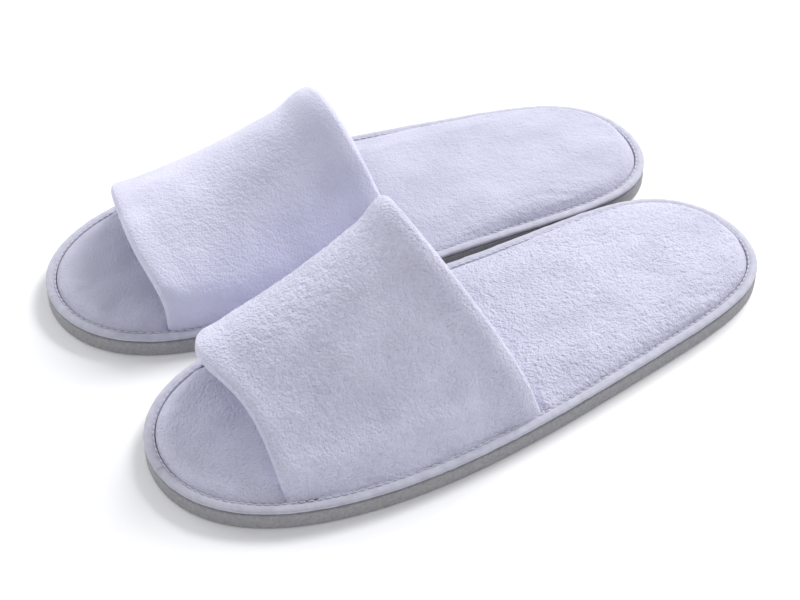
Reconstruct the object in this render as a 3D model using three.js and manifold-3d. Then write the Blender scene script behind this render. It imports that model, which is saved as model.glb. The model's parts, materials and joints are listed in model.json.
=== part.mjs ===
// A pair of open-toe spa slippers standing side by side on a floor, toes towards -Y.
// Millimetres, +Z up, origin on the floor in the middle of the pair's outline.
//
// Each slipper is drawn in its own frame: +y towards the toe, +x towards the inner (medial) side of the foot,
// z = 0 on the floor. The right slipper is the mirror image of the left, with its own strap shape, because a
// soft strap never stands twice the same way.
import * as THREE from 'three';
import { mergeVertices } from 'three/addons/utils/BufferGeometryUtils.js';
import Module from 'manifold-3d';

const wasm = await Module();
wasm.setup();

// ---- driving dimensions ------------------------------------------------------------------------------

const LENGTH = 285; // one slipper, heel to toe
const TOE_OUT = 3.41; // degrees that each slipper turns outwards
const HALF_SPACING = 48.85; // from the middle of the pair to the middle of one slipper
const GAP = 0.3; // clearance between pieces that touch
const OUTLINE_POINTS = 48;

// Outline of the sole: half widths as cosine terms of the angle around it, heel to toe, then the skew that
// makes the outer side fuller than the inner side.
const HALF_WIDTHS = [65.301, 2.577, 14.706, -3.041, 1.102];
const SKEW = [-1.849, -0.792, 3.37];

const OUTSOLE_THICKNESS = 7.1;
const OUTSOLE_EDGE = 0.9; // rounding of the outsole's edges
const BINDING_BOTTOM = OUTSOLE_THICKNESS + GAP;
const BINDING_WIDTH = 4.4; // from the outline to the binding's inner line
const BINDING_TAPE = 0.45; // thickness of the binding fabric
const BINDING_TOP = 9.6;
const BACKING_THICKNESS = 0.6;
const BACKING_BOTTOM = BINDING_BOTTOM + BINDING_TAPE + GAP;
const BACKING_TOP = BACKING_BOTTOM + BACKING_THICKNESS;
const THREAD = 0.6; // width of a line of stitches
const THREAD_HEIGHT = 0.4;

const COVER_THICKNESS = 1.2;
const PAD_BOTTOM = BACKING_TOP + GAP; // underside of the insole padding, and the foot of the strap
const PAD_EDGE_TOP = 10.2; // where the crown of the insole starts, beside the binding
const PAD_TOP = 13.6; // middle of the insole
const PAD_SHOULDER = 24; // from the binding to where the insole is level
const STRAP_TUCK = 6.9; // room for the strap's margin between the binding and the insole
const STRAP_ZONE = [-6, 110]; // stretch of the sole that the strap's margins take up
const ZONE_RAMP = 5;

const FLEX_Y = -16; // line across the sole, behind the strap, where it bends

const FLEECE = 2.1; // outer layer of the strap
const WADDING = 1.2;
const LINING = 1.3;
const LAYER_GAP = 0.7; // air between the strap's layers
const STRAP_HALF = (FLEECE + WADDING + LINING + 2 * LAYER_GAP) / 2;
const HEM = 0.08; // width of the turned hems, as a share of the strap's width
const HEM_ROLL = 0.022; // how far the hem's round edge goes past the strap's line, as the same share
const STRAP_STEPS = 5; // across the strap, toe edge to instep edge
const ARCH_STEPS = 16; // over the foot, outer side to inner side
const ARCH_FOOT = 0.09; // share of the arch at each foot that is squeezed by the seam
const SQUEEZE = 0.7; // thickness of the strap at its seam, as a share of its full thickness
const STRAP_WIDTH = 103; // from the toe edge to the instep edge, flat
const STRAP_BASE = 8.42; // height that the strap's arch starts from

// Where the strap's instep edge meets the sole, along the slipper, on the outer and inner side of the foot,
// and how round the arch's crest is.
const INSTEP_FEET = [3.26, -2.8];
const CREST = 0.45;
// Each strap is set a little differently. Feet of the toe edge; heights of the two edges and the bow between
// them; how far each crest leans to the toe and shifts inwards; the round nose of the toe edge; how slowly the
// arch rises from each foot of the toe edge, and from the instep edge; how much its sides close in.
const LEFT_ARCH = {
  toeFeet: [106.1, 96.3], toeHeight: 34, instepHeight: 70.9, bow: -3.3, toeLean: 0.2, instepLean: 29.5,
  toeShift: 14, instepShift: 15.5, nose: 10.4, toeRises: [1.75, 2.2], instepRise: 1.61, closing: 0.09,
};
const RIGHT_ARCH = {
  toeFeet: [92, 101.5], toeHeight: 31.6, instepHeight: 63.6, bow: -6.9, toeLean: 9.8, instepLean: 16.9,
  toeShift: -3.1, instepShift: 3.8, nose: -1.2, toeRises: [1.47, 0.68], instepRise: 2, closing: 0,
};

// ---- materials ---------------------------------------------------------------------------------------

const finish = (color, roughness) => () => new THREE.MeshStandardMaterial({ color, roughness, metalness: 0 });
const fleece = finish('#ecebf2', 0.95);
const liningFleece = finish('#e4e3ec', 0.95);
const bindingCloth = finish('#f3f3f6', 0.8);
const thread = finish('#e9e9ee', 0.7);
const foam = finish('#f1ede2', 0.9);
const backing = finish('#dcdcde', 0.9);
const evaFoam = finish('#a1a2a5', 0.85);

// ---- closed solids from rings of points --------------------------------------------------------------

const mix = (a, b, share) => a + (b - a) * share;
const smooth = (value, from, to) => THREE.MathUtils.smoothstep(value, from, to);

// Six times the volume inside a closed surface, negative when its faces point inwards.
function signedVolume(positions, faces) {
  const corner = (i) => new THREE.Vector3(...positions[i]);
  return faces.reduce((sum, [a, b, c]) => sum + corner(a).dot(corner(b).cross(corner(c))), 0);
}

function closedGeometry(positions, faces) {
  const outward = signedVolume(positions, faces) > 0 ? faces : faces.map(([a, b, c]) => [a, c, b]);
  const geometry = new THREE.BufferGeometry();
  geometry.setAttribute('position', new THREE.Float32BufferAttribute(positions.flat(), 3));
  geometry.setIndex(outward.flat());
  return geometry;
}

// Triangles that fill a flat outline, turned the same way round as the outline.
function capTriangles(outline) {
  const points = outline.map(([x, y]) => new THREE.Vector2(x, y));
  const turn = Math.sign(THREE.ShapeUtils.area(points));
  return THREE.ShapeUtils.triangulateShape(points, []).map(([a, b, c]) => {
    const same = Math.sign(THREE.ShapeUtils.area([points[a], points[b], points[c]])) === turn;
    return same ? [a, b, c] : [a, c, b];
  });
}

const distance = (p, q) => Math.hypot(p[0] - q[0], p[1] - q[1], p[2] - q[2]);

// Joins rings of the same number of points, splitting each four-sided face along its shorter diagonal, so
// that layers that follow each other bend alike. With capOutline, which is the flat form of the first and the
// last ring, the chain of rings is closed by a cap at both ends; without it, the chain closes on itself.
function solidFromRings(rings, capOutline) {
  const size = rings[0].length;
  const points = rings.flat();
  const faces = [];
  const spans = capOutline ? rings.length - 1 : rings.length;
  for (let ring = 0; ring < spans; ring++) {
    const next = (ring + 1) % rings.length;
    for (let i = 0; i < size; i++) {
      const j = (i + 1) % size;
      const [a, b, c, d] = [ring * size + i, ring * size + j, next * size + j, next * size + i];
      const straight = distance(points[a], points[c]) < distance(points[b], points[d]);
      if (straight) faces.push([a, b, c], [a, c, d]);
      else faces.push([a, b, d], [b, c, d]);
    }
  }
  if (capOutline) {
    const last = (rings.length - 1) * size;
    for (const [a, b, c] of capTriangles(capOutline)) faces.push([a, c, b], [last + a, last + b, last + c]);
  }
  return closedGeometry(points, faces);
}

function toManifold(geometry) {
  const bare = geometry.clone();
  bare.deleteAttribute('normal');
  bare.deleteAttribute('uv');
  const merged = mergeVertices(bare, 1e-5);
  return new wasm.Manifold(new wasm.Mesh({
    numProp: 3,
    vertProperties: new Float32Array(merged.attributes.position.array),
    triVerts: new Uint32Array(merged.index.array),
  }));
}

function toGeometry(solid) {
  const mesh = solid.getMesh();
  const geometry = new THREE.BufferGeometry();
  geometry.setAttribute('position', new THREE.Float32BufferAttribute(mesh.vertProperties, 3));
  geometry.setIndex(Array.from(mesh.triVerts));
  return geometry;
}

// The part of a sole layer in front of the flex line, or behind it.
function cutAtFlexLine(geometry, front) {
  const reach = LENGTH;
  const half = new THREE.BoxGeometry(reach, reach, reach);
  const middle = front ? FLEX_Y + GAP / 2 + reach / 2 : FLEX_Y - GAP / 2 - reach / 2;
  half.translate(0, middle, 0);
  return toGeometry(toManifold(geometry).intersect(toManifold(half)));
}

// ---- sole --------------------------------------------------------------------------------------------

function outlinePoint(angle) {
  const halfWidth = HALF_WIDTHS.reduce((sum, term, i) => sum + term * Math.cos(i * angle), 0);
  const skew = SKEW.reduce((sum, term, i) => sum + term * Math.cos(i * angle), 0);
  return [Math.sin(angle) * halfWidth + Math.sin(angle) ** 2 * skew, (LENGTH / 2) * Math.cos(angle)];
}

// A point of the outline moved inwards, square to it.
function insetPoint(angle, inset) {
  const step = 1e-4;
  const [x, y] = outlinePoint(angle);
  const [ahead, behind] = [outlinePoint(angle + step), outlinePoint(angle - step)];
  const along = new THREE.Vector2(ahead[0] - behind[0], ahead[1] - behind[1]).normalize();
  return [x + along.y * inset, y - along.x * inset];
}

const outlineAngles = Array.from({ length: OUTLINE_POINTS }, (_, i) => (2 * Math.PI * i) / OUTLINE_POINTS);

// How much of the strap's margin is beside the insole at this place along the slipper, 0 to 1.
function strapShare(y) {
  const [from, to] = STRAP_ZONE;
  return smooth(y, from - ZONE_RAMP, from) * (1 - smooth(y, to, to + ZONE_RAMP));
}

// One ring around the sole. Tucked rings also step inwards beside the strap.
function soleRing(inset, z, tuck = 0) {
  return outlineAngles.map((angle) => {
    const room = tuck * strapShare(insetPoint(angle, inset)[1]);
    return [...insetPoint(angle, inset + room), z];
  });
}

function soleSlab(profile) {
  const rings = profile.map(([inset, z, tuck]) => soleRing(inset, z, tuck));
  return solidFromRings(rings, rings[0]);
}

const soleLoop = (profile) => solidFromRings(profile.map(([inset, z]) => soleRing(inset, z)));

const outsole = () => soleSlab([
  [OUTSOLE_EDGE, 0],
  [OUTSOLE_EDGE * 0.3, OUTSOLE_EDGE * 0.3],
  [0, OUTSOLE_EDGE],
  [0, OUTSOLE_THICKNESS - OUTSOLE_EDGE / 2],
  [OUTSOLE_EDGE / 2, OUTSOLE_THICKNESS],
]);

const insoleBacking = () => soleSlab([
  [BINDING_TAPE + GAP, BACKING_BOTTOM],
  [BINDING_TAPE + GAP, BACKING_TOP],
]);

// Height of the insole's surface, given how far it is inside the binding's inner line.
function crown(inside) {
  const share = Math.min(inside / PAD_SHOULDER, 1);
  return mix(PAD_EDGE_TOP, PAD_TOP, 1 - (1 - share) ** 2);
}

// Rings of a surface that runs under the insole's face, from its edge to the level middle.
function crownRings(edge, depth) {
  return [0, 0.2, 0.5, 1].map((share) => {
    const inset = mix(edge, BINDING_WIDTH + PAD_SHOULDER, share);
    return [inset, crown(inset - BINDING_WIDTH) - depth, STRAP_TUCK * (1 - share)];
  });
}

// A fleece sheet domed over the foam, with a skirt down to the backing.
function insoleCover() {
  const outside = BINDING_WIDTH + GAP;
  const inside = outside + COVER_THICKNESS;
  return soleSlab([
    ...crownRings(inside, COVER_THICKNESS).reverse(),
    [inside, PAD_BOTTOM, STRAP_TUCK],
    [outside, PAD_BOTTOM, STRAP_TUCK],
    ...crownRings(outside, 0),
  ]);
}

function insoleFoam() {
  const edge = BINDING_WIDTH + 2 * GAP + COVER_THICKNESS;
  return soleSlab([
    [edge, PAD_BOTTOM, STRAP_TUCK],
    ...crownRings(edge, COVER_THICKNESS + GAP),
  ]);
}

// A tape folded around the edge of the insole: lower lip, round outer side, upper lip.
const edgeBinding = () => soleLoop([
  [BINDING_WIDTH, BINDING_BOTTOM],
  [0.6, BINDING_BOTTOM],
  [0, BINDING_BOTTOM + 0.7],
  [0.4, BINDING_TOP - 0.6],
  [1.8, BINDING_TOP],
  [BINDING_WIDTH, BINDING_TOP - 0.25],
  [BINDING_WIDTH, BACKING_TOP + GAP],
  [BINDING_TAPE, BACKING_TOP + GAP],
  [BINDING_TAPE, BACKING_BOTTOM - GAP],
  [BINDING_WIDTH, BACKING_BOTTOM - GAP],
]);

// One line of stitches lying on the binding, just inside its inner edge.
function bindingSeam() {
  const inner = BINDING_WIDTH - GAP;
  const bottom = BINDING_TOP + GAP;
  return soleLoop([
    [inner, bottom],
    [inner - THREAD, bottom],
    [inner - THREAD, bottom + THREAD_HEIGHT],
    [inner, bottom + THREAD_HEIGHT],
  ]);
}

// ---- strap -------------------------------------------------------------------------------------------

// The point of the binding's inner line at y, on the inner side of the foot (side 1) or the outer side (-1).
function rimPoint(y, side) {
  let [toe, heel] = [0, Math.PI];
  for (let i = 0; i < 40; i++) {
    const middle = (toe + heel) / 2;
    if (insetPoint(side * middle, BINDING_WIDTH)[1] > y) toe = middle;
    else heel = middle;
  }
  return insetPoint(side * toe, BINDING_WIDTH);
}

// The middle surface of the strap: across runs 0 to 1 from the toe edge to the instep edge, and over runs
// 0 to 1 from the outer side of the foot, over its arch, to the inner side.
function strapPoint(arch, across, over) {
  const [outer, inner] = [-1, 1].map((side, i) => rimPoint(mix(arch.toeFeet[i], INSTEP_FEET[i], across), side));
  const height = mix(arch.toeHeight, arch.instepHeight, across) + arch.bow * 4 * across * (1 - across);
  const lean = mix(arch.toeLean, arch.instepLean, across);
  const shift = mix(arch.toeShift, arch.instepShift, across);
  const rise = mix(mix(...arch.toeRises, smooth(over, 0, 1)), arch.instepRise, across);
  const swing = -Math.cos(Math.PI * over);
  const lift = Math.sin(Math.PI * over);
  const closing = ((swing ** 2 + CREST ** 2) / (1 + CREST ** 2)) ** (arch.closing * across / 2);
  const share = (1 + swing * closing) / 2;
  return new THREE.Vector3(
    mix(outer[0], inner[0], share) + shift * lift ** 2,
    mix(outer[1], inner[1], share) + lean * lift ** 2 + arch.nose * (1 - across) ** 2 * lift ** 10,
    STRAP_BASE + height * lift ** rise,
  );
}

function strapNormal(arch, across, over) {
  const step = 0.01;
  const place = THREE.MathUtils.clamp(over, ARCH_FOOT, 1 - ARCH_FOOT);
  const alongAcross = strapPoint(arch, across + step, place).sub(strapPoint(arch, across - step, place));
  const alongOver = strapPoint(arch, across, place + step).sub(strapPoint(arch, across, place - step));
  return alongAcross.cross(alongOver).normalize();
}

const archPlaces = [
  0,
  ...Array.from({ length: ARCH_STEPS + 1 }, (_, i) => mix(ARCH_FOOT, 1 - ARCH_FOOT, i / ARCH_STEPS)),
  1,
];

// A piece of the strap: a closed section of [across, depth] points swept over the foot, where depth is the
// distance from the middle surface, positive outwards. At both feet the section is squeezed inwards by the
// seam and ends level, just above the insole's backing.
function strapPiece(arch, section) {
  const rings = archPlaces.map((over) => {
    const foot = over === 0 || over === 1;
    const free = foot ? 0 : smooth(Math.min(over, 1 - over), ARCH_FOOT / 2, 2 * ARCH_FOOT);
    return section.map(([across, depth]) => {
      const squeezed = mix(SQUEEZE * (depth - STRAP_HALF) - GAP, depth, free);
      const point = strapPoint(arch, across, over).addScaledVector(strapNormal(arch, across, over), squeezed);
      return [point.x, point.y, foot ? PAD_BOTTOM : point.z];
    });
  });
  const flat = section.map(([across, depth]) => [across * STRAP_WIDTH, depth]);
  return solidFromRings(rings, flat);
}

// Points at one depth, from one place across the strap to another. The points between them are shared by all
// the layers, so that the layers stay parallel.
function acrossStrap(from, to, depth) {
  const shared = Array.from({ length: STRAP_STEPS - 1 }, (_, i) => [(i + 1) / STRAP_STEPS, depth]);
  return [[from, depth], ...(from < to ? shared : shared.reverse()), [to, depth]];
}

// The outer fleece, with both edges turned under in a round hem.
function upperOuter(arch) {
  const face = STRAP_HALF - FLEECE;
  const lip = LINING - STRAP_HALF;
  const turn = HEM_ROLL / 2;
  return strapPiece(arch, [
    ...acrossStrap(0, 1, STRAP_HALF),
    [1 + HEM_ROLL, STRAP_HALF / 2],
    [1 + HEM_ROLL, -STRAP_HALF / 2],
    [1, -STRAP_HALF],
    [1 - HEM, -STRAP_HALF],
    [1 - HEM, lip],
    [1 - turn, lip],
    ...acrossStrap(1 - turn, turn, face),
    [turn, lip],
    [HEM, lip],
    [HEM, -STRAP_HALF],
    [0, -STRAP_HALF],
    [-HEM_ROLL, -STRAP_HALF / 2],
    [-HEM_ROLL, STRAP_HALF / 2],
  ]);
}

function strapSheet(arch, margin, top, thickness) {
  return strapPiece(arch, [
    ...acrossStrap(margin, 1 - margin, top),
    ...acrossStrap(1 - margin, margin, top - thickness),
  ]);
}

const upperWadding = (arch) => strapSheet(arch, HEM_ROLL, STRAP_HALF - FLEECE - LAYER_GAP, WADDING);
const upperLining = (arch) => strapSheet(arch, HEM + HEM_ROLL / 2, LINING - STRAP_HALF, LINING);

// A line of stitches along a turned hem, on the side of the foot.
function hemSeam(arch, across) {
  const half = THREAD / STRAP_WIDTH / 2;
  const top = -STRAP_HALF - GAP;
  return strapPiece(arch, [
    [across - half, top],
    [across + half, top],
    [across + half, top - THREAD_HEIGHT],
    [across - half, top - THREAD_HEIGHT],
  ]);
}

// ---- the pair ----------------------------------------------------------------------------------------

function mirrored(geometry) {
  const copy = geometry.clone();
  copy.scale(-1, 1, 1);
  const index = copy.index.array;
  for (let i = 0; i < index.length; i += 3) [index[i + 1], index[i + 2]] = [index[i + 2], index[i + 1]];
  return copy;
}

function slipper(side, arch) {
  const group = new THREE.Group();
  const add = (name, geometry, material) => {
    const mesh = new THREE.Mesh(side === 'left' ? geometry : mirrored(geometry), material());
    mesh.name = `${side}_${name}`;
    group.add(mesh);
  };
  const soleLayers = [
    ['outsole', outsole(), evaFoam],
    ['insole_backing', insoleBacking(), backing],
    ['insole_foam', insoleFoam(), foam],
    ['insole_cover', insoleCover(), fleece],
    ['edge_binding', edgeBinding(), bindingCloth],
    ['binding_seam', bindingSeam(), thread],
  ];
  for (const [name, layer, material] of soleLayers) {
    add(`${name}_front`, cutAtFlexLine(layer, true), material);
    add(`${name}_heel`, cutAtFlexLine(layer, false), material);
  }
  add('upper_outer', upperOuter(arch), fleece);
  add('upper_wadding', upperWadding(arch), foam);
  add('upper_lining', upperLining(arch), liningFleece);
  add('toe_hem_seam', hemSeam(arch, 0.75 * HEM), thread);
  add('instep_hem_seam', hemSeam(arch, 1 - 0.75 * HEM), thread);
  return group;
}

const pair = new THREE.Group();
for (const [side, arch, direction] of [['left', LEFT_ARCH, 1], ['right', RIGHT_ARCH, -1]]) {
  const one = slipper(side, arch);
  one.position.x = direction * HALF_SPACING;
  one.rotation.z = Math.PI + direction * THREE.MathUtils.degToRad(TOE_OUT);
  pair.add(one);
}

// Put the origin in the middle of the pair's outline.
const box = new THREE.Box3().setFromObject(pair, true);
pair.position.y = -(box.min.y + box.max.y) / 2;

export default pair;
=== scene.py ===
import json
import math

import bmesh
import bpy
import numpy as np
from mathutils import Matrix, Vector


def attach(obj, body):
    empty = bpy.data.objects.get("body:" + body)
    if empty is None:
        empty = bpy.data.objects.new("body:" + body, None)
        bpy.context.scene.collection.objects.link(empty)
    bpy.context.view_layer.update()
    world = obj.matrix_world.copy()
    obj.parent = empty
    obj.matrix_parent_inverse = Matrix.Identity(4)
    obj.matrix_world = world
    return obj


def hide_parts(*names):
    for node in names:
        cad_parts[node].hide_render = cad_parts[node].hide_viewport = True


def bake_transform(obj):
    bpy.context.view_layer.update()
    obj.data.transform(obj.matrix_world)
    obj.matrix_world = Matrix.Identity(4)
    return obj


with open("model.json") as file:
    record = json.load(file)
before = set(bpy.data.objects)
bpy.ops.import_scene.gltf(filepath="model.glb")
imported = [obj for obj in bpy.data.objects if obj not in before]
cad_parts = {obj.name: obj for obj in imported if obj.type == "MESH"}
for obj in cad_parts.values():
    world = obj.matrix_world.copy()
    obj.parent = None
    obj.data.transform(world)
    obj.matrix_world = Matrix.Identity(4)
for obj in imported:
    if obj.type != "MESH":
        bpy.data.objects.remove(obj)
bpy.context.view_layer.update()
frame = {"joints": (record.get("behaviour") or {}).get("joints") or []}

MM = 0.001

# ---- dimensions in millimetres: the CAD part's, and those of the soft pieces ---------------------

LENGTH = 285
HALF_WIDTHS = [65.301, 2.577, 14.706, -3.041, 1.102]
SKEW = [-1.849, -0.792, 3.37]
FLEX_Y = -16
HINGE_Z = 13.6

OUTSOLE_TOP = 7.1
BINDING_WIDTH = 4.4
BINDING_BOTTOM = 7.4
BINDING_TOP = 9.6
PAD_BOTTOM = 9.1
PAD_TOP = 13.6
PAD_SHOULDER = 10
TREAD_INSET = 28
PAD_RIM = 4.5
PAD_RIM_HEIGHT = 8.4
PAD_TUCK = 6.4  # room that the insole leaves for the strap's margin
PAD_TUCK_GAP = 0.3  # from the insole's rim to its flat margin
PAD_LIFT = 0.2  # the insole's flat margin above its bottom
PAD_SWELL = 0.9  # height left for the simulation and the pile
HEEL_CROWN = 1.3  # the insole's crown at the heel, as a share of its crown elsewhere
HEEL_SHOULDER = 0.75  # and the width of its shoulder there
PRESSURE = 4.0  # of the cloth simulation, in Blender's own unit
MOST_SWELL = 1.6  # how far the simulation may move a point

STRAP_BASE = 8.42
STRAP_HALF = 3.0
STRAP_FLOOR = PAD_BOTTOM + 0.05  # where the strap's feet are flattened
INSTEP_FEET = (3.26, -2.8)  # where the instep edge meets the sole, outer and inner side
STRAP_WIDTH = 103
CREST = 0.45  # how gently the strap closes towards its ridge
SQUEEZE = 0.7  # share of the strap's thickness that its seams leave at the feet
FOOT = 0.09  # the part of the way over the foot that the seams squeeze
ARCHES = {
    "left": {
        "toe_feet": (106.1, 96.3), "toe": 34, "instep": 70.9, "bow": -3.3,
        "toe_lean": 0.2, "instep_lean": 29.5, "toe_shift": 14, "instep_shift": 15.5, "nose": 10.4,
        "toe_rises": (1.75, 2.2), "instep_rise": 1.61, "closing": 0.09,
    },
    "right": {
        "toe_feet": (92, 101.5), "toe": 31.6, "instep": 63.6, "bow": -6.9,
        "toe_lean": 9.8, "instep_lean": 16.9, "toe_shift": -3.1, "instep_shift": 3.8, "nose": -1.2,
        "toe_rises": (1.47, 0.68), "instep_rise": 2, "closing": 0,
    },
}

NAP = {"left": 1.05, "right": 0.5}  # how much the pile of each slipper stands up

CAMERA = {"azimuth": 61.35, "elevation": 40.26, "distance": 0.7559, "target": (0.00304, -0.00873, 0.0),
          "lens": 78.87, "shift": (0.0054, -0.0024)}


# ---- placing a slipper ---------------------------------------------------------------------------

def slipper_matrix(side):
    """From a slipper's own frame, +y towards the toe and +x towards the inner side, to the row frame."""
    joint = next(j for j in frame["joints"] if j["name"] == f"{side}_heel_flex")
    across = -Vector(joint["axis"]).normalized()
    along = Vector((-across.y, across.x, 0))
    hinge = Vector(joint["pos_m"])
    centre = hinge - along * (FLEX_Y * MM) - Vector((0, 0, HINGE_Z * MM))
    inner = across if side == "left" else -across
    return Matrix((
        (inner.x, along.x, 0, centre.x),
        (inner.y, along.y, 0, centre.y),
        (0, 0, 1, centre.z),
        (0, 0, 0, 1),
    ))


PLACES = {side: np.array(slipper_matrix(side)) for side in ARCHES}


def to_row(side, points):
    """Millimetres in the slipper's frame to metres in the row frame."""
    place = PLACES[side]
    return points * MM @ place[:3, :3].T + place[:3, 3]


# ---- noise and grids -----------------------------------------------------------------------------

def lattice(cells, seed):
    """A repeatable random number from 0 to 1 for each whole-number cell."""
    c = cells.astype(np.int64).astype(np.uint32)
    n = c[..., 0] * np.uint32(374761393) + c[..., 1] * np.uint32(668265263)
    n = n + c[..., 2] * np.uint32(2246822519) + np.uint32(seed * 3266489917 % 2**32)
    n = (n ^ (n >> np.uint32(13))) * np.uint32(1274126177)
    return ((n ^ (n >> np.uint32(16))) & np.uint32(0xFFFFFF)) / 0xFFFFFF


def noise(points, size, seed=0):
    """Smooth noise from -1 to 1, whose lumps are about size across."""
    p = points / size
    cell = np.floor(p)
    f = p - cell
    f = f * f * f * (f * (f * 6 - 15) + 10)
    total = np.zeros(points.shape[:-1])
    for corner in np.ndindex(2, 2, 2):
        weight = np.prod(np.where(corner, f, 1 - f), axis=-1)
        total += weight * lattice(cell + corner, seed)
    return total * 2 - 1


def tufts(points, size, seed=0):
    """Round bumps from 0 to 1 packed at random, about size apart."""
    p = points / size
    cell = np.floor(p)
    nearest = np.full(points.shape[:-1], 9.0)
    for step in np.ndindex(3, 3, 3):
        other = cell + np.array(step) - 1
        jitter = np.stack([lattice(other, seed + k) for k in range(3)], axis=-1)
        nearest = np.minimum(nearest, ((other + jitter - p) ** 2).sum(-1))
    return np.clip(1 - nearest / 0.7, 0, 1)


def smooth(value, low, high):
    t = np.clip((value - low) / (high - low), 0, 1)
    return t * t * (3 - 2 * t)


def mix(a, b, share):
    return a + (b - a) * share


def curve(rows, spans, t):
    """Points at t on the smooth curve through the rows. Span 0 runs from the second row to the third."""
    i = np.minimum(t.astype(int), spans - 1)
    f = (t - i).reshape(-1, *[1] * (rows.ndim - 1))
    p0, p1, p2, p3 = rows[i], rows[i + 1], rows[i + 2], rows[i + 3]
    return 0.5 * (2 * p1 + (p2 - p0) * f + (2 * p0 - 5 * p1 + 4 * p2 - p3) * f**2
                  + (3 * p1 - p0 - 3 * p2 + p3) * f**3)


def refine(values, factor, before, after):
    """A smooth curve through the rows of values, with factor steps between them. before and after
    are the rows that continue it past its ends."""
    rows = np.concatenate([before[None], values, after[None], after[None]])
    spans = len(values) - 1
    return curve(rows, spans, np.arange(spans * factor + 1) / factor)


def from_ends(count):
    """How many steps each of count points is from the nearer end."""
    return np.minimum(np.arange(count), np.arange(count)[::-1])


def refine_open(values, factor):
    return refine(values, factor, 2 * values[0] - values[1], 2 * values[-1] - values[-2])


def refine_loop(values, factor):
    """The same for rows that close on themselves."""
    around = np.concatenate([values, values[:1]])
    rows = np.concatenate([values[-1:], around, values[1:3]])
    return curve(rows, len(values), np.arange(len(values) * factor) / factor)


def slope(grid, axis, closed):
    if closed:
        return np.roll(grid, -1, axis) - np.roll(grid, 1, axis)
    return np.gradient(grid, axis=axis)


def normals(grid, closed=(False, False)):
    n = np.cross(slope(grid, 0, closed[0]), slope(grid, 1, closed[1]))
    return n / np.maximum(np.linalg.norm(n, axis=-1, keepdims=True), 1e-9)


def quads(rows, columns, closed=(False, False)):
    """The faces of a grid of points, as indexes."""
    index = np.arange(rows * columns).reshape(rows, columns)
    if closed[0]:
        index = np.concatenate([index, index[:1]], axis=0)
    if closed[1]:
        index = np.concatenate([index, index[:, :1]], axis=1)
    corners = [index[:-1, :-1], index[1:, :-1], index[1:, 1:], index[:-1, 1:]]
    return np.stack(corners, axis=-1).reshape(-1, 4).tolist()


def caps(rows, columns):
    """The faces that close both ends of a tube of points."""
    return [[r * columns + end for r in range(rows)] for end in (0, columns - 1)]


def ladder(one, other):
    """Faces straight across a flat shape, between points that face each other on its two sides."""
    rungs = zip(one[:-1], one[1:], other[1:], other[:-1])
    return [list(dict.fromkeys(rung)) for rung in rungs]


def mesh_object(name, points, faces, merge=0.0):
    mesh = bpy.data.meshes.new(name)
    mesh.from_pydata(points.reshape(-1, 3), [], faces)
    work = bmesh.new()
    work.from_mesh(mesh)
    if merge:
        bmesh.ops.remove_doubles(work, verts=work.verts, dist=merge)
    bmesh.ops.recalc_face_normals(work, faces=work.faces)
    work.to_mesh(mesh)
    work.free()
    mesh.polygons.foreach_set("use_smooth", [True] * len(mesh.polygons))
    thing = bpy.data.objects.new(name, mesh)
    bpy.context.scene.collection.objects.link(thing)
    return thing


def inflate(points, faces, sewn, pressure, most):
    """Cloth simulation of a closed piece that swells, in metres. The sewn points stay, and no point moves
    further than most."""
    pad = mesh_object("settling", points, faces)
    held = pad.vertex_groups.new(name="sewn")
    held.add([int(i) for i in sewn], 1.0, "REPLACE")
    cloth = pad.modifiers.new("cloth", "CLOTH")
    cloth.settings.quality = 6
    cloth.settings.use_pressure = True
    cloth.settings.uniform_pressure_force = pressure
    cloth.settings.vertex_group_mass = "sewn"
    cloth.settings.effector_weights.gravity = 0
    scene = bpy.context.scene
    for step in range(1, 21):
        scene.frame_set(step)
    settled = pad.evaluated_get(bpy.context.evaluated_depsgraph_get())
    moved = np.array([v.co for v in settled.data.vertices]) - points
    scene.frame_set(1)
    bpy.data.objects.remove(pad)
    reach = np.linalg.norm(moved, axis=1, keepdims=True)
    return points + moved * np.minimum(1, most / np.maximum(reach, 1e-12))


# ---- outline of the sole -------------------------------------------------------------------------

def outline(angle):
    half = sum(term * np.cos(i * angle) for i, term in enumerate(HALF_WIDTHS))
    skew = sum(term * np.cos(i * angle) for i, term in enumerate(SKEW))
    return np.stack([np.sin(angle) * half + np.sin(angle) ** 2 * skew, LENGTH / 2 * np.cos(angle)], axis=-1)


def inset(angle, distance):
    """Points of the outline moved inwards, square to it."""
    along = outline(angle + 1e-4) - outline(angle - 1e-4)
    along = along / np.linalg.norm(along, axis=-1, keepdims=True)
    inward = np.stack([along[..., 1], -along[..., 0]], axis=-1)
    return outline(angle) + inward * np.asarray(distance)[..., None]


def even_angles(count):
    """Angles whose points are evenly spaced along the outline."""
    fine = np.linspace(0, 2 * np.pi, 4001)
    points = outline(fine)
    walked = np.concatenate([[0], np.cumsum(np.linalg.norm(np.diff(points, axis=0), axis=1))])
    return np.interp(np.arange(count) / count * walked[-1], walked, fine), walked[-1]


def ring_grid(angles, profile):
    """A grid around the sole, one column for each (inset, height) of the profile."""
    columns = [np.concatenate([inset(angles, d), np.full((len(angles), 1), z)], axis=1) for d, z in profile]
    return np.stack(columns, axis=1)


# ---- materials -----------------------------------------------------------------------------------

def new_material(name, color, roughness):
    material = bpy.data.materials.new(name)
    material.use_nodes = True
    tree = material.node_tree
    shader = tree.nodes["Principled BSDF"]
    shader.inputs["Base Color"].default_value = (*color, 1)
    shader.inputs["Roughness"].default_value = roughness
    return material, tree, shader


def add_node(tree, kind, **settings):
    node = tree.nodes.new(kind)
    for key, value in settings.items():
        if key in node.inputs:
            node.inputs[key].default_value = value
        else:
            setattr(node, key, value)
    return node


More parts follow.
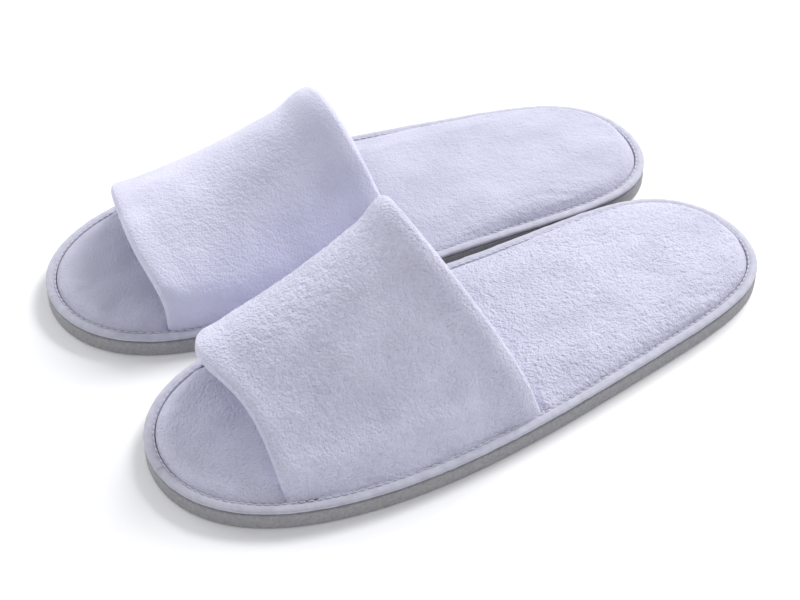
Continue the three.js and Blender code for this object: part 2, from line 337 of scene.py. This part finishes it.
def noise_node(tree, where, scale, detail=2.0, roughness=0.5):
    node = add_node(tree, "ShaderNodeTexNoise", Scale=scale, Detail=detail, Roughness=roughness)
    tree.links.new(where, node.inputs["Vector"])
    return node.outputs["Fac"]


def color_between(tree, share, low, high, dark, light):
    """A colour that goes from dark to light as share goes from low to high."""
    ramp = tree.nodes.new("ShaderNodeValToRGB")
    ramp.color_ramp.elements[0].position = low
    ramp.color_ramp.elements[1].position = high
    ramp.color_ramp.elements[0].color = (*dark, 1)
    ramp.color_ramp.elements[1].color = (*light, 1)
    tree.links.new(share, ramp.inputs["Fac"])
    return ramp.outputs["Color"]


def bump(tree, shader, heights):
    """Bump from several (height, distance in metres) layers, one on another."""
    below = None
    for height, distance in heights:
        node = add_node(tree, "ShaderNodeBump", Strength=1.0, Distance=distance)
        tree.links.new(height, node.inputs["Height"])
        if below:
            tree.links.new(below, node.inputs["Normal"])
        below = node.outputs["Normal"]
    tree.links.new(below, shader.inputs["Normal"])


def fleece_material(name, dark, light, nap, sheen=0.35):
    material, tree, shader = new_material(name, light, 0.95)
    shader.inputs["Sheen Weight"].default_value = sheen
    shader.inputs["Sheen Roughness"].default_value = 0.45
    shader.inputs["Specular IOR Level"].default_value = 0.15
    where = tree.nodes.new("ShaderNodeTexCoord").outputs["Object"]
    cells = add_node(tree, "ShaderNodeTexVoronoi", Scale=900.0)
    tree.links.new(where, cells.inputs["Vector"])
    curls = noise_node(tree, where, 1500.0, 3.0, 0.6)
    patches = noise_node(tree, where, 45.0, 2.0)
    tree.links.new(color_between(tree, patches, 0.3, 0.7, dark, light), shader.inputs["Base Color"])
    bump(tree, shader, [(cells.outputs["Distance"], -0.0005 * nap), (curls, 0.00065 * nap)])
    return material


def foam_material(name, dark, light):
    material, tree, shader = new_material(name, light, 0.8)
    shader.inputs["Specular IOR Level"].default_value = 0.3
    where = tree.nodes.new("ShaderNodeTexCoord").outputs["Object"]
    pores = add_node(tree, "ShaderNodeTexVoronoi", Scale=1400.0)
    tree.links.new(where, pores.inputs["Vector"])
    speckle = noise_node(tree, where, 700.0, 3.0, 0.65)
    tree.links.new(color_between(tree, speckle, 0.35, 0.65, dark, light), shader.inputs["Base Color"])
    bump(tree, shader, [(pores.outputs["Distance"], 0.00012), (speckle, 0.00015)])
    return material


RIB_PITCH = 0.0022  # of the tape's weave, in metres


def tape_material(name, dark, light):
    """Woven tape: two sets of fine ribs, along and across, from the tape's own grid."""
    material, tree, shader = new_material(name, light, 0.7)
    shader.inputs["Sheen Weight"].default_value = 0.15
    shader.inputs["Specular IOR Level"].default_value = 0.25
    where = tree.nodes.new("ShaderNodeTexCoord")
    ribs = []
    for direction in ("X", "Y"):
        wave = add_node(tree, "ShaderNodeTexWave", bands_direction=direction, Scale=1.0 / RIB_PITCH,
                        Distortion=0.4)
        tree.links.new(where.outputs["UV"], wave.inputs["Vector"])
        ribs.append((wave.outputs["Fac"], 0.00005))
    mottle = noise_node(tree, where.outputs["Object"], 300.0, 3.0)
    tree.links.new(color_between(tree, mottle, 0.3, 0.7, dark, light), shader.inputs["Base Color"])
    bump(tree, shader, [*ribs, (mottle, 0.0001)])
    return material


def thread_material(name, dark, light):
    material, tree, shader = new_material(name, light, 0.55)
    shader.inputs["Sheen Weight"].default_value = 0.2
    where = tree.nodes.new("ShaderNodeTexCoord").outputs["Object"]
    twist = noise_node(tree, where, 3500.0, 1.0)
    tree.links.new(color_between(tree, twist, 0.3, 0.7, dark, light), shader.inputs["Base Color"])
    bump(tree, shader, [(twist, 0.0001)])
    return material


MATERIALS = {
    "lining_fleece": fleece_material("lining_fleece", (0.56, 0.56, 0.72), (0.65, 0.65, 0.82), 0.8),
    # The binding tape's colour is partly its own and partly painted shade: darkened overall for the shade on
    # its sides that face away from the light.
    "binding_cloth": tape_material("binding_cloth", (0.51, 0.51, 0.61), (0.60, 0.60, 0.70)),
    "thread": thread_material("thread", (0.62, 0.62, 0.72), (0.74, 0.74, 0.84)),
    "outsole_foam": foam_material("outsole_foam", (0.30, 0.295, 0.315), (0.39, 0.385, 0.405)),
}
# Painted light and shade: lit and shaded copies of the same fleece, its strap and insole on each slipper made
# lighter or darker by these factors for how the light falls on them.
PAINTED_LIGHT_TONES = {("strap_fleece", "left"): 1.13, ("insole_fleece", "left"): 1.08,
         ("strap_fleece", "right"): 1.05, ("insole_fleece", "right"): 0.87}
for (slot, side), tone in PAINTED_LIGHT_TONES.items():
    dark, light = ([tone * level for level in color] for color in ((0.61, 0.61, 0.76), (0.71, 0.71, 0.87)))
    MATERIALS[slot, side] = fleece_material(f"{side}_{slot}", dark, light, NAP[side])


def dress(piece, slot, side=None):
    piece.data.materials.clear()
    piece.data.materials.append(MATERIALS[(slot, side) if side else slot])


def bends(piece):
    """The piece runs the length of the sole. Its placement is baked into its mesh."""
    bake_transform(piece)


def both_halves(side, *layers):
    return [f"{side}_{layer}_{half}" for layer in layers for half in ("front", "heel")]


# ---- outsole -------------------------------------------------------------------------------------

def tread(points):
    """Depth of the grip pattern under the sole: small diamonds with grooves between them."""
    pitch, groove, depth = 7.0, 1.3, 0.5
    x, y = points[..., 0], points[..., 1]
    lines = [np.abs((x * s + y) / pitch - np.round((x * s + y) / pitch)) * pitch for s in (1.0, -1.0)]
    return depth * (1 - smooth(np.minimum(*lines), groove / 2, groove))


def make_outsole(side):
    angles, _ = even_angles(400)
    edge, bulge, lumps = 0.8, 0.12, 26.0
    corner = [(edge * (1 - math.sin(a)), edge * (1 - math.cos(a))) for a in np.linspace(0, math.pi / 2, 5)]
    tall = OUTSOLE_TOP - 2 * edge
    wall = [(-bulge * math.sin(math.pi * t), edge + tall * t) for t in np.linspace(0.1, 0.9, 7)]
    top = [(1.6 * d, OUTSOLE_TOP - z) for d, z in reversed(corner)]
    under = [(d, 0.0) for d in np.linspace(TREAD_INSET, edge + 1.2, 24)]
    over = [(2.0, OUTSOLE_TOP), (8.0, OUTSOLE_TOP)]
    grid = ring_grid(angles, [*under, *corner, *wall, *top, *over])
    lump = noise(grid, lumps, 3)[..., None] * bulge
    grid += normals(grid, (True, False)) * lump * (grid[..., 2:] > 0.5)
    first = len(under)
    grid[:, :first - 1, 2] += tread(grid[:, :first - 1])
    rows, columns = grid.shape[:2]
    faces = quads(rows, columns, (True, False))
    last = [(r % rows) * columns + columns - 1 for r in range(rows + 1)]
    faces += ladder(last[:rows // 2 + 1], last[:rows // 2 - 1:-1])
    centre = make_tread_centre(angles, rows * columns)
    points = np.concatenate([grid.reshape(-1, 3), centre[0]])
    piece = mesh_object(f"{side}_outsole", to_row(side, points), faces + centre[1], merge=1e-6)
    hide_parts(*both_halves(side, "outsole"))
    bends(piece)
    dress(piece, "outsole_foam")


def make_tread_centre(angles, offset):
    """The middle of the underside, from the innermost ring to a line down the middle."""
    steps = 24
    ring = inset(angles, TREAD_INSET)
    line = np.stack([ring[:, 0].mean() + 0 * ring[:, 0], ring[:, 1] * 0.8], axis=1)
    share = np.linspace(0, 1, steps + 1)[None, :, None]
    flat = ring[:, None] * (1 - share) + line[:, None] * share
    grid = np.concatenate([flat, np.zeros((*flat.shape[:2], 1))], axis=2)
    grid[..., 2] += tread(grid)
    faces = (np.array(quads(len(angles), steps + 1, (True, False))) + offset).tolist()
    return grid.reshape(-1, 3), faces


# ---- binding and its stitches --------------------------------------------------------------------

STITCH_PITCH = 3.4
STITCH_LENGTH = 2.7
BINDING_THREAD = 0.55
HEM_THREAD = 0.5
TAPE = 0.42  # thickness of the binding tape
TAPE_WIDTH = 14.0  # that its weave is laid out on
STITCH_INSET = 3.75


def binding_profile(count):
    """Outer face of the folded tape, from under the insole round the outside to its inner line."""
    low, high = BINDING_BOTTOM, BINDING_TOP
    corners = np.array([
        (BINDING_WIDTH, low + 0.05), (2.4, low), (0.9, low + 0.02), (0.15, low + 0.4), (-0.1, low + 1.05),
        (0.25, low + 1.75), (1.1, high - 0.05), (2.2, high + 0.12), (3.3, high - 0.05),
        (BINDING_WIDTH, high - 0.45),
    ])
    return refine_open(corners, count)


def make_binding(side):
    angles, length = even_angles(720)
    outer = binding_profile(3)
    along = np.gradient(outer, axis=0)
    along /= np.linalg.norm(along, axis=1, keepdims=True)
    inward = np.stack([along[:, 1], -along[:, 0]], axis=1)
    inner = (outer + inward * TAPE)[::-1]
    grid = ring_grid(angles, [*outer, *inner])
    walked = np.arange(len(angles)) / len(angles) * length
    pucker = np.cos(2 * np.pi * walked / STITCH_PITCH)[:, None]
    near = np.exp(-(outer[:, 0] - STITCH_INSET) ** 2) * (outer[:, 1] > BINDING_TOP - 1)
    face = grid[:, :len(outer)]
    lump = 0.10 * noise(face, 5.0, 11) + 0.07 * noise(face, 2.0, 12) + 0.10 * pucker * near - 0.24 * near
    face += normals(grid, (True, True))[:, :len(outer)] * -lump[..., None]
    rows, columns = grid.shape[:2]
    piece = mesh_object(f"{side}_edge_binding", to_row(side, grid), quads(rows, columns, (True, True)))
    layer = piece.data.uv_layers.new(name="weave")
    row, column = np.divmod(np.arange(rows * columns), columns)
    width = TAPE_WIDTH / len(outer)
    flat = np.stack([row / rows * length * MM, column * width * MM], axis=1)
    corner = np.zeros(len(piece.data.loops), int)
    piece.data.loops.foreach_get("vertex_index", corner)
    layer.data.foreach_set("uv", flat[corner].ravel())
    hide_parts(*both_halves(side, "edge_binding"))
    bends(piece)
    dress(piece, "binding_cloth")
    return piece, length


def stitch_line(name, centres, directions, ups, long, thick):
    """One mesh of separate stitches, each a short tube that dips at both ends."""
    steps, round_steps = 6, 6
    t = np.linspace(-1, 1, steps)
    turn = np.arange(round_steps) / round_steps * 2 * np.pi
    taper = np.sqrt(np.clip(1 - (np.abs(t) * 0.93) ** 4, 0.05, 1))
    sides = np.cross(directions, ups)
    middle = centres[:, None] + directions[:, None] * (t * long / 2)[None, :, None]
    middle = middle - ups[:, None] * (0.35 * thick * t**4)[None, :, None]
    ring = (ups[:, None, None] * (np.cos(turn) * thick / 2)[None, None, :, None]
            + sides[:, None, None] * (np.sin(turn) * thick / 2)[None, None, :, None])
    points = middle[:, :, None] + ring * taper[None, :, None, None]
    faces, size = [], steps * round_steps
    one = np.array(quads(steps, round_steps, (False, True)))
    for k in range(len(centres)):
        faces += (one + k * size).tolist()
        faces.append(list(range(k * size, k * size + round_steps)))
        faces.append(list(range(k * size + size - round_steps, k * size + size)))
    return mesh_object(name, points, faces)


def place_seam(seam, side):
    """From the slipper's frame to the row frame. The right slipper's frame is mirrored."""
    seam.data.transform(Matrix(PLACES[side].tolist()) @ Matrix.Scale(MM, 4))
    if side == "right":
        seam.data.flip_normals()


def make_binding_seam(side, length):
    count = int(length / STITCH_PITCH)
    angles, _ = even_angles(count)
    ahead, here = inset(angles + 0.002, STITCH_INSET), inset(angles, STITCH_INSET)
    along = ahead - here
    along /= np.linalg.norm(along, axis=1, keepdims=True)
    flat = np.zeros((count, 1))
    height = np.full((count, 1), BINDING_TOP - 0.12)
    points = np.concatenate([here, height], axis=1)
    ups = np.tile([0.0, 0.0, 1.0], (count, 1))
    level = np.concatenate([along, flat], axis=1)
    seam = stitch_line(f"{side}_binding_seam", points, level, ups, STITCH_LENGTH, BINDING_THREAD)
    place_seam(seam, side)
    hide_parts(*both_halves(side, "binding_seam"))
    bends(seam)
    dress(seam, "thread")


# ---- padded insole -------------------------------------------------------------------------------

def strap_share(y, toe_foot):
    """How far the insole makes room for the strap's margin, 0 to 1."""
    return smooth(y, -3.0, 5.0) * (1 - smooth(y, toe_foot - 3, toe_foot + 5))


def insole_station(side, angles, halves):
    """Rows along the slipper, each a path across it from the inner rim to the outer rim, and how far
    each of their points is from the flat margin. The rim itself has -1."""
    def path(angle, toe_foot):
        rim = inset(angle, PAD_RIM)
        margin = inset(angle, PAD_RIM + PAD_TUCK_GAP + PAD_TUCK * strap_share(rim[..., 1], toe_foot))
        spine = np.stack([0.04 * rim[:, 1], rim[:, 1] * 0.70], axis=1)
        flat = mix(margin[:, None], spine[:, None], np.linspace(0, 1, halves)[None, :, None] ** 1.25)
        far = np.linalg.norm(flat - margin[:, None], axis=-1)
        return np.concatenate([rim[:, None], flat], axis=1), np.concatenate([0 * far[:, :1] - 1, far], axis=1)

    outer_foot, inner_foot = ARCHES[side]["toe_feet"]
    inner, inner_far = path(angles, inner_foot)
    outer, outer_far = path(-angles, outer_foot)
    flat = np.concatenate([inner, outer[:, -2::-1]], axis=1)
    far = np.concatenate([inner_far, outer_far[:, -2::-1]], axis=1)
    return flat, far


def make_insole(side):
    stations, halves, fine = 60, 13, 7
    half_turn = np.interp(np.arange(stations + 1) / stations, *half_walk())
    flat, far = insole_station(side, half_turn, halves)
    heelward = smooth(-flat[..., 1], 10, 70)
    crown = (PAD_TOP - PAD_SWELL - PAD_BOTTOM) * mix(1, HEEL_CROWN, heelward)
    shoulder = np.clip(far / PAD_SHOULDER / mix(1, HEEL_SHOULDER, heelward), 0, 1)
    rise = PAD_BOTTOM + PAD_LIFT + crown * (1 - (1 - shoulder) ** 3)
    rise = np.where(far < 0, PAD_RIM_HEIGHT, rise)
    top = np.concatenate([flat, rise[..., None]], axis=2)
    base = np.concatenate([flat, np.full((*flat.shape[:2], 1), PAD_RIM_HEIGHT)], axis=2)
    rows, columns = top.shape[:2]
    points = to_row(side, np.concatenate([top.reshape(-1, 3), base.reshape(-1, 3)]))
    points = settle_insole(points, rows, columns)
    top = from_row(side, points[:rows * columns]).reshape(rows, columns, 3)
    top[:, [0, -1]] = np.concatenate([flat[:, [0, -1]], np.full((rows, 2, 1), PAD_RIM_HEIGHT)], axis=2)
    grid = refine(top, fine, top[1, ::-1], top[-2, ::-1])
    grid = refine_open(grid.swapaxes(0, 1), fine).swapaxes(0, 1)
    up = normals(grid)
    up *= np.sign(up[..., 2:].mean())
    up[[0, -1]] = up[[1, -2]]
    edge = smooth(from_ends(grid.shape[1]), fine, 1.7 * fine)[None, :]
    brushed = mix(1, 0.2, smooth(grid[..., 1], 72, 100)) * NAP[side]
    soft = 0.45 * noise(grid, 22.0, 21) + 0.25 * noise(grid, 9.0, 22)
    relief = (soft + fleece_height(grid, 23) * brushed) * edge
    grid = grid + up * relief[..., None]
    grid[..., 2] = np.maximum(grid[..., 2], PAD_RIM_HEIGHT)
    rows, columns = grid.shape[:2]
    faces = quads(rows, columns)
    inner_rim = range(0, rows * columns, columns)
    faces += ladder(inner_rim, [first + columns - 1 for first in inner_rim])
    piece = mesh_object(f"{side}_insole", to_row(side, grid), faces, merge=2e-6)
    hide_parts(*both_halves(side, "insole_cover", "insole_foam", "insole_backing"))
    bends(piece)
    dress(piece, "insole_fleece", side)


def half_walk():
    """Share of the way along one side of the sole, and the angle there."""
    fine = np.linspace(0, np.pi, 2001)
    walked = np.concatenate([[0], np.cumsum(np.linalg.norm(np.diff(inset(fine, PAD_RIM), axis=0), axis=1))])
    return walked / walked[-1], fine


def settle_insole(points, rows, columns):
    """The insole swells between its sewn rim and its flat back."""
    size = rows * columns
    faces = quads(rows, columns)
    under = [[i + size for i in reversed(face)] for face in faces]
    index = np.arange(size).reshape(rows, columns)
    walls = []
    for column in (0, columns - 1):
        line = index[:, column]
        walls += [[int(a), int(b), int(b) + size, int(a) + size] for a, b in zip(line[:-1], line[1:])]
    joined, back = merged_points(points)
    solid = [[int(back[i]) for i in face] for face in faces + under + walls]
    solid = [face for face in (list(dict.fromkeys(f)) for f in solid) if len(face) > 2]
    sewn = set(back[size:].tolist()) | set(back[index[:, [0, 1, -2, -1]].ravel()].tolist())
    return inflate(joined, solid, sorted(sewn), PRESSURE, MOST_SWELL * MM)[back]


def merged_points(points):
    """The distinct points, and where each of the given points went."""
    keys = np.round(points / 1e-7).astype(np.int64)
    _, first, back = np.unique(keys, axis=0, return_index=True, return_inverse=True)
    return points[first], back.ravel()


def from_row(side, points):
    place = PLACES[side]
    return (points - place[:3, 3]) @ place[:3, :3] / MM


def fleece_height(points, seed):
    """Height of the short pile above its backing, in millimetres: small tufts, curled and uneven."""
    bent = points + 0.8 * np.stack([noise(points, 2.6, seed + k) for k in range(3)], axis=-1)
    curls = 1 - np.abs(noise(bent, 1.5, seed + 5))
    return 0.42 * tufts(bent, 2.0, seed) + 0.28 * curls - 0.35


# ---- strap ---------------------------------------------------------------------------------------

def rim_at(y, side):
    """Points of the binding's inner line at y, on the inner side of the foot (1) or the outer side (-1)."""
    fine = np.linspace(0, np.pi, 1500)
    rim = inset(side * fine, BINDING_WIDTH)
    return np.stack([np.interp(-y, -rim[:, 1], rim[:, 0]), y], axis=-1)


def strap_surface(arch, across, over):
    """Middle surface of the strap: across 0 to 1 from toe edge to instep edge, over 0 to 1 over the foot."""
    across, over = np.broadcast_arrays(across, over)
    outer, inner = (rim_at(mix(arch["toe_feet"][i], INSTEP_FEET[i], across), (-1, 1)[i]) for i in (0, 1))
    height = mix(arch["toe"], arch["instep"], across) + arch["bow"] * 4 * across * (1 - across)
    lean = mix(arch["toe_lean"], arch["instep_lean"], across)
    shift = mix(arch["toe_shift"], arch["instep_shift"], across)
    rise = mix(mix(*arch["toe_rises"], smooth(over, 0, 1)), arch["instep_rise"], across)
    swing, lift = -np.cos(np.pi * over), np.maximum(np.sin(np.pi * over), 1e-6)
    share = (1 + swing * ((swing**2 + CREST**2) / (1 + CREST**2)) ** (arch["closing"] * across / 2)) / 2
    flat = mix(outer, inner, share[..., None])
    return np.stack([
        flat[..., 0] + shift * lift**2,
        flat[..., 1] + lean * lift**2 + arch["nose"] * (1 - across) ** 2 * lift**10,
        STRAP_BASE + height * lift**rise,
    ], axis=-1)


def strap_normals(arch, across, over):
    over = np.clip(over, FOOT, 1 - FOOT)
    step = 0.01
    one = strap_surface(arch, across + step, over) - strap_surface(arch, across - step, over)
    two = strap_surface(arch, across, over + step) - strap_surface(arch, across, over - step)
    n = np.cross(one, two)
    return n / np.linalg.norm(n, axis=-1, keepdims=True)


def strap_point(arch, across, depth, over):
    """Points of the strap at a depth from its middle, squeezed by the seams at its feet."""
    free = smooth(np.minimum(over, 1 - over), FOOT / 2, 2 * FOOT)
    squeezed = mix(SQUEEZE * (depth - STRAP_HALF) + 0.5, depth, free)
    return strap_surface(arch, across, over) + strap_normals(arch, across, over) * squeezed[..., None]


HEM_SEAM = 0.088  # from a turned edge to its stitches, as a share of the strap's width
FACE = 2.76
BACK = 2.4
# Face and back of the strap: distance from an edge line in millimetres, and depth from its middle surface.
TOE_HEM = [(0, 2.9, -2.9), (3, 3.0, -2.7), (7, 2.7, -BACK), (11, 2.55, -BACK)]
INSTEP_HEM = [(0, 3.75, -3.3), (3, 4.1, -3.0), (6, 3.8, -2.7), (10, 3.1, -BACK), (14, 2.6, -BACK),
              (19, 2.6, -BACK)]
HEM_ROLLS = (2.9, 3.7)  # radius of the turned edge at the toe and at the instep
HEM_HELD = 0.11  # share of the strap's width that its hems hold still


def strap_section():
    """The closed section of the strap: face, instep edge, back, toe edge, as (across, depth)."""
    field = [(t, FACE, -BACK) for t in np.linspace(0.16, 0.76, 13)]
    toe = [(d / STRAP_WIDTH, face, back) for d, face, back in TOE_HEM]
    instep = [(1 - d / STRAP_WIDTH, face, back) for d, face, back in reversed(INSTEP_HEM)]
    rows = np.array([*toe, *field, *instep])
    turns = np.radians([50, 0, -50])
    ends = [[(r / STRAP_WIDTH * math.cos(a), r * math.sin(a)) for a in turns] for r in HEM_ROLLS]
    return np.array([
        *rows[:, [0, 1]],
        *((1 + along, depth) for along, depth in ends[1]),
        *rows[::-1, [0, 2]],
        *((-along, -depth) for along, depth in ends[0]),
    ])


def make_strap(side):
    arch = ARCHES[side]
    section = strap_section()
    spans, fine = 40, 7
    over = np.linspace(0, 1, spans + 1)[None, :]
    grid = strap_point(arch, section[:, :1], np.broadcast_to(section[:, 1:], (len(section), spans + 1)), over)
    grid[..., 2] = mix(STRAP_FLOOR, grid[..., 2], smooth(np.minimum(over, 1 - over), 0, FOOT / 2))
    coarse = to_row(side, grid)
    coarse = settle_strap(coarse, section)
    grid = from_row(side, coarse.reshape(-1, 3)).reshape(grid.shape)
    grid = refine_loop(grid, fine)
    grid = refine_open(grid.swapaxes(0, 1), fine).swapaxes(0, 1)
    around = refine_loop(np.concatenate([section, section[:, :1] * 0], axis=1), fine)
    out = normals(grid, (True, False))
    middle = grid.mean(axis=0, keepdims=True)
    out *= np.sign(((grid - middle) * out).sum(-1).mean())
    grid = grid + out * strap_relief(grid, around, NAP[side])[..., None]
    grid[..., 2] = np.maximum(grid[..., 2], PAD_BOTTOM)
    rows, columns = grid.shape[:2]
    faces = quads(rows, columns, (True, False))
    faces += caps(rows, columns)
    piece = mesh_object(f"{side}_strap", to_row(side, grid), faces)
    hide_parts(f"{side}_upper_outer", f"{side}_upper_wadding")
    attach(piece, f"{side}_forefoot")
    dress(piece, "strap_fleece", side)


def strap_relief(grid, around, nap):
    """How far each point of the strap stands out from its plain form, in millimetres."""
    across, depth = around[:, :1], around[:, 1:2]
    face = smooth(depth, -0.5, 0.6 * STRAP_HALF)
    hem_band = smooth(across, 0.04, 0.14) * (1 - smooth(across, 0.86, 0.96))
    soft = 0.45 * noise(grid, 30.0, 41) + 0.2 * noise(grid, 12.0, 42)
    crest = np.exp(-((np.linspace(0, 1, grid.shape[1]) - 0.62) / 0.16) ** 2)[None, :]
    pile = fleece_height(grid, 43) * mix(0.2, mix(0.55, 0.95, crest), hem_band) * nap
    return face * (soft + pile) + (1 - face) * (0.3 * pile - 0.2 * hem_band)


def settle_strap(coarse, section):
    """The face of the strap swells between its hems and its feet. Its back is sewn to the lining."""
    rows, columns = coarse.shape[:2]
    index = np.arange(rows * columns).reshape(rows, columns)
    faces = quads(rows, columns, (True, False))
    faces.append([int(i) for i in index[:, 0]])
    faces.append([int(i) for i in index[::-1, -1]])
    sewn = set(index[:, [0, -1]].ravel().tolist())
    for row, (across, depth) in enumerate(section):
        if depth < 0 or min(across, 1 - across) < HEM_HELD:
            sewn |= set(index[row].tolist())
    settled = inflate(coarse.reshape(-1, 3), faces, sorted(sewn), PRESSURE, MOST_SWELL * MM)
    return settled.reshape(coarse.shape)


def make_lining(side):
    """A sheet of thinner fleece across the back of the strap, between the two hems."""
    arch = ARCHES[side]
    margin, thick = HEM_SEAM + 0.012, 0.6
    across = np.linspace(margin, 1 - margin, 110)
    over = np.linspace(FOOT * 0.4, 1 - FOOT * 0.4, 220)[None, :]
    top = np.full((len(across), 1), -BACK - 0.05) * np.ones_like(over)
    upper = strap_point(arch, across[:, None], top, over)
    lower = strap_point(arch, across[:, None], top - thick, over)
    bulge = 0.25 * noise(lower, 12.0, 61) + 0.10 * noise(lower, 2.2, 62)
    edge = from_ends(len(across))[:, None]
    lower -= strap_normals(arch, across[:, None], over) * (bulge * smooth(edge, 0, 6))[..., None]
    grid = np.concatenate([upper, lower[::-1]])
    grid[..., 2] = np.maximum(grid[..., 2], PAD_BOTTOM)
    rows, columns = grid.shape[:2]
    faces = quads(rows, columns, (True, False))
    faces += caps(rows, columns)
    piece = mesh_object(f"{side}_strap_lining", to_row(side, grid), faces)
    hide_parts(f"{side}_upper_lining")
    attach(piece, f"{side}_forefoot")
    dress(piece, "lining_fleece")


def make_hem_seam(side, name, across):
    """Stitches along a turned hem, on the side that faces the foot."""
    arch = ARCHES[side]
    fine = np.linspace(FOOT * 0.6, 1 - FOOT * 0.6, 800)
    depth = np.full_like(fine, -BACK - 0.40)
    line = strap_point(arch, np.full_like(fine, across), depth, fine)
    walked = np.concatenate([[0], np.cumsum(np.linalg.norm(np.diff(line, axis=0), axis=1))])
    count = int(walked[-1] / STITCH_PITCH)
    over = np.interp((np.arange(count) + 0.5) / count * walked[-1], walked, fine)
    depth = np.full(count, depth[0])
    here = strap_point(arch, np.full(count, across), depth, over)
    ahead = strap_point(arch, np.full(count, across), depth, over + 0.002)
    along = (ahead - here) / np.linalg.norm(ahead - here, axis=1, keepdims=True)
    ups = -strap_normals(arch, np.full(count, across), over)
    seam = stitch_line(f"{side}_{name}", here, along, ups, STITCH_LENGTH, HEM_THREAD)
    place_seam(seam, side)
    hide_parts(f"{side}_{name}")
    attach(seam, f"{side}_forefoot")
    dress(seam, "thread")


# ---- the pair ------------------------------------------------------------------------------------

for side in ARCHES:
    make_outsole(side)
    binding, binding_length = make_binding(side)
    make_binding_seam(side, binding_length)
    make_insole(side)
    make_strap(side)
    make_lining(side)
    make_hem_seam(side, "toe_hem_seam", HEM_SEAM - 0.012)
    make_hem_seam(side, "instep_hem_seam", 1 - HEM_SEAM + 0.012)


# ---- studio --------------------------------------------------------------------------------------

def make_floor():
    mesh = bpy.data.meshes.new("floor")
    reach = 6.0
    mesh.from_pydata([(-reach, -reach, 0), (reach, -reach, 0), (reach, reach, 0), (-reach, reach, 0)], [],
                     [(0, 1, 2, 3)])
    floor = bpy.data.objects.new("floor", mesh)
    bpy.context.scene.collection.objects.link(floor)
    floor.location.z = -0.0002
    material, _, shader = new_material("floor", (0.94, 0.94, 0.95), 0.9)
    shader.inputs["Emission Color"].default_value = (1, 1, 1, 1)
    shader.inputs["Emission Strength"].default_value = 0.07
    mesh.materials.append(material)


def toward(azimuth, elevation):
    """The direction from the pair to an azimuth, which is 0 at the toes, and an elevation."""
    a, e = math.radians(azimuth), math.radians(elevation)
    return Vector((math.sin(a) * math.cos(e), -math.cos(a) * math.cos(e), math.sin(e)))


def make_light(name, azimuth, elevation, distance, size, power):
    """A soft square light that faces the pair from an azimuth and elevation, as the camera's are given."""
    light = bpy.data.lights.new(name, "AREA")
    light.size = size
    light.energy = power
    thing = bpy.data.objects.new(name, light)
    back = toward(azimuth, elevation)
    thing.location = back * distance
    thing.rotation_mode = "QUATERNION"
    thing.rotation_quaternion = back.to_track_quat("Z", "Y")
    bpy.context.scene.collection.objects.link(thing)


def make_camera():
    data = bpy.data.cameras.new("camera")
    data.lens = CAMERA["lens"]
    data.shift_x, data.shift_y = CAMERA["shift"]
    camera = bpy.data.objects.new("camera", data)
    back = toward(CAMERA["azimuth"], CAMERA["elevation"])
    camera.location = Vector(CAMERA["target"]) + back * CAMERA["distance"]
    camera.rotation_mode = "QUATERNION"
    camera.rotation_quaternion = back.to_track_quat("Z", "Y")
    bpy.context.scene.collection.objects.link(camera)
    bpy.context.scene.camera = camera


def make_world():
    world = bpy.data.worlds.new("studio")
    world.use_nodes = True
    background = world.node_tree.nodes["Background"]
    background.inputs["Color"].default_value = (0.97, 0.98, 1.0, 1)
    background.inputs["Strength"].default_value = 0.56
    bpy.context.scene.world = world


make_floor()
make_world()
make_camera()
make_light("key", azimuth=203, elevation=42, distance=2.4, size=1.2, power=55)
make_light("fill", azimuth=300, elevation=20, distance=2.4, size=1.4, power=16)
bpy.context.scene.view_settings.view_transform = "Standard"
